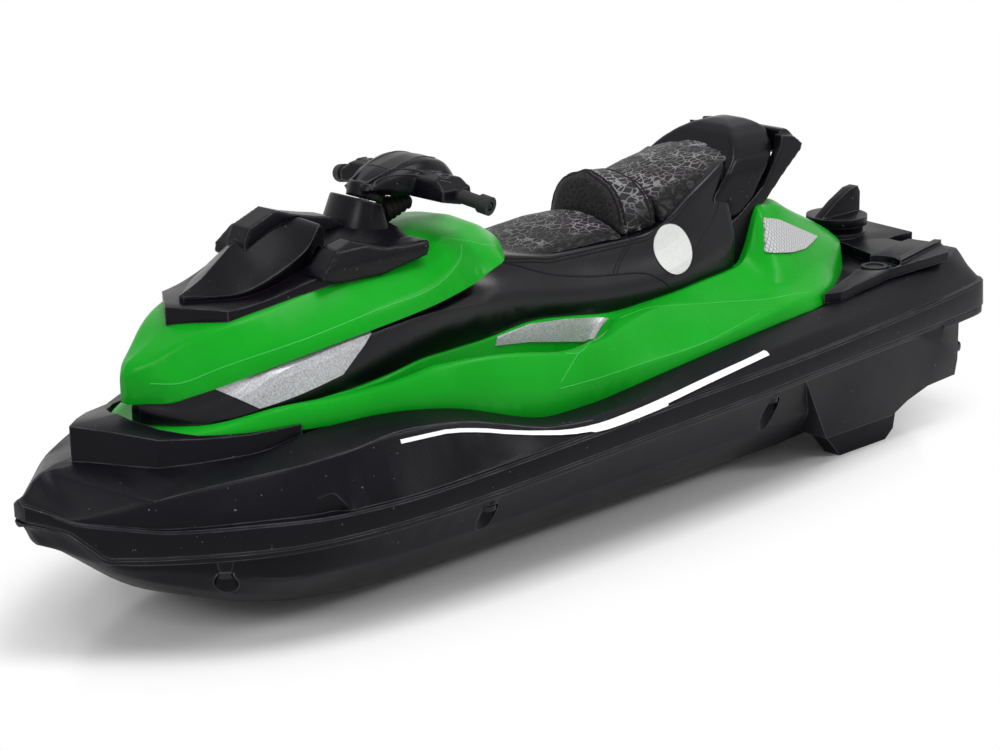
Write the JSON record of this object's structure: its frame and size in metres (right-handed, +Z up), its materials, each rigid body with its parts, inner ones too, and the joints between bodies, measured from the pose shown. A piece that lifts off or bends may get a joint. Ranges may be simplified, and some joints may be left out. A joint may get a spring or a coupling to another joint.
{
  "type": "rc jet ski",
  "caption": "Remote-controlled toy jet ski: stepped hull, green bonnet and fairing, padded seat, turning handlebar, lift-off stern hatch with a twist lock, and two driven propellers.",
  "frame": {"origin": "under the middle of the craft, on the surface its keel and skegs stand on", "axes": "+X towards the bow, +Y to port, +Z up"},
  "size_m": [0.344, 0.12, 0.114],
  "materials": {
    "black_plastic": "satin moulded ABS",
    "green_plastic": "glossy moulded ABS",
    "black_rubber": "soft rubber",
    "seat_vinyl": "soft printed vinyl",
    "silver_film": "speckled silver film",
    "white_film": "white film",
    "motor_steel": "plated can",
    "shaft_steel": "bright steel",
    "coupling_rubber": "hard rubber",
    "brass": "drawn",
    "grey_plastic": "moulded",
    "battery_wrap": "shrink wrap",
    "circuit_board": "coated laminate"
  },
  "bodies": {
    "craft": {"hull_shell": "black_plastic", "hull_gasket": "black_rubber", "deck_shell": "black_plastic", "deck_fairing": "green_plastic", "seat_body": "black_plastic", "bonnet": "green_plastic", "cowl": "black_plastic", "cowl_panel": "black_plastic", "instrument_visor": "black_plastic", "steering_neck": "black_plastic", "steering_pin": "shaft_steel", "steering_boot": "black_rubber", "seat_front_pad": "seat_vinyl", "seat_bolster": "seat_vinyl", "seat_rear_pad": "seat_vinyl", "seat_backrest": "black_plastic", "grab_handle": "black_plastic", "power_switch": "grey_plastic", "motor_mount": "black_plastic", "battery_pack": "battery_wrap", "battery_tray": "black_plastic", "receiver_board": "circuit_board", "hull_screws": "shaft_steel", "water_contacts": "brass", "decal_front_port": "silver_film", "decal_front_starboard": "silver_film", "decal_side_port": "silver_film", "decal_side_starboard": "silver_film", "stripe_port": "white_film", "stripe_starboard": "white_film", "badge_port": "white_film", "badge_starboard": "white_film", "reflector_port": "silver_film", "reflector_starboard": "silver_film", "mirror_port": "black_plastic", "mirror_starboard": "black_plastic", "motor_port": "motor_steel", "motor_starboard": "motor_steel", "shaft_tube_port": "brass", "shaft_tube_starboard": "brass", "nozzle_port": "grey_plastic", "nozzle_starboard": "grey_plastic"},
    "handlebar": {"handlebar": "black_plastic", "grip_port": "black_rubber", "grip_starboard": "black_rubber"},
    "hatch": {"hatch_cover": "black_plastic", "hatch_seal": "black_rubber"},
    "knob": {"hatch_knob": "black_plastic"},
    "button": {"power_button": "black_rubber"},
    "drive_port": {"propeller_port": "black_plastic", "shaft_port": "shaft_steel", "coupling_port": "coupling_rubber"},
    "drive_starboard": {"propeller_starboard": "black_plastic", "shaft_starboard": "shaft_steel", "coupling_starboard": "coupling_rubber"}
  },
  "joints": [
    {"name": "handlebar_turn", "type": "hinge", "parent": "craft", "child": "handlebar", "pos_m": [0.0535, 0, 0.10325], "axis": [-0.352, 0, 0.936], "range_deg": [-15, 15]},
    {"name": "hatch_lift", "type": "slide", "parent": "craft", "child": "hatch", "axis": [0, 0, 1], "range_m": [0, 0.045]},
    {"name": "knob_turn", "type": "hinge", "parent": "hatch", "child": "knob", "pos_m": [-0.1537, 0, 0.06], "axis": [0, 0, 1], "range_deg": [0, 35]},
    {"name": "button_press", "type": "slide", "parent": "craft", "child": "button", "axis": [0, 0, -1], "range_m": [0, 0.0015], "stiffness_N_per_m": 400},
    {"name": "drive_port_spin", "type": "hinge", "parent": "craft", "child": "drive_port", "pos_m": [-0.1575, 0.0384, 0.0266], "axis": [1, 0, 0], "continuous": true},
    {"name": "drive_starboard_spin", "type": "hinge", "parent": "craft", "child": "drive_starboard", "pos_m": [-0.1575, -0.0384, 0.0266], "axis": [1, 0, 0], "continuous": true}
  ]
}
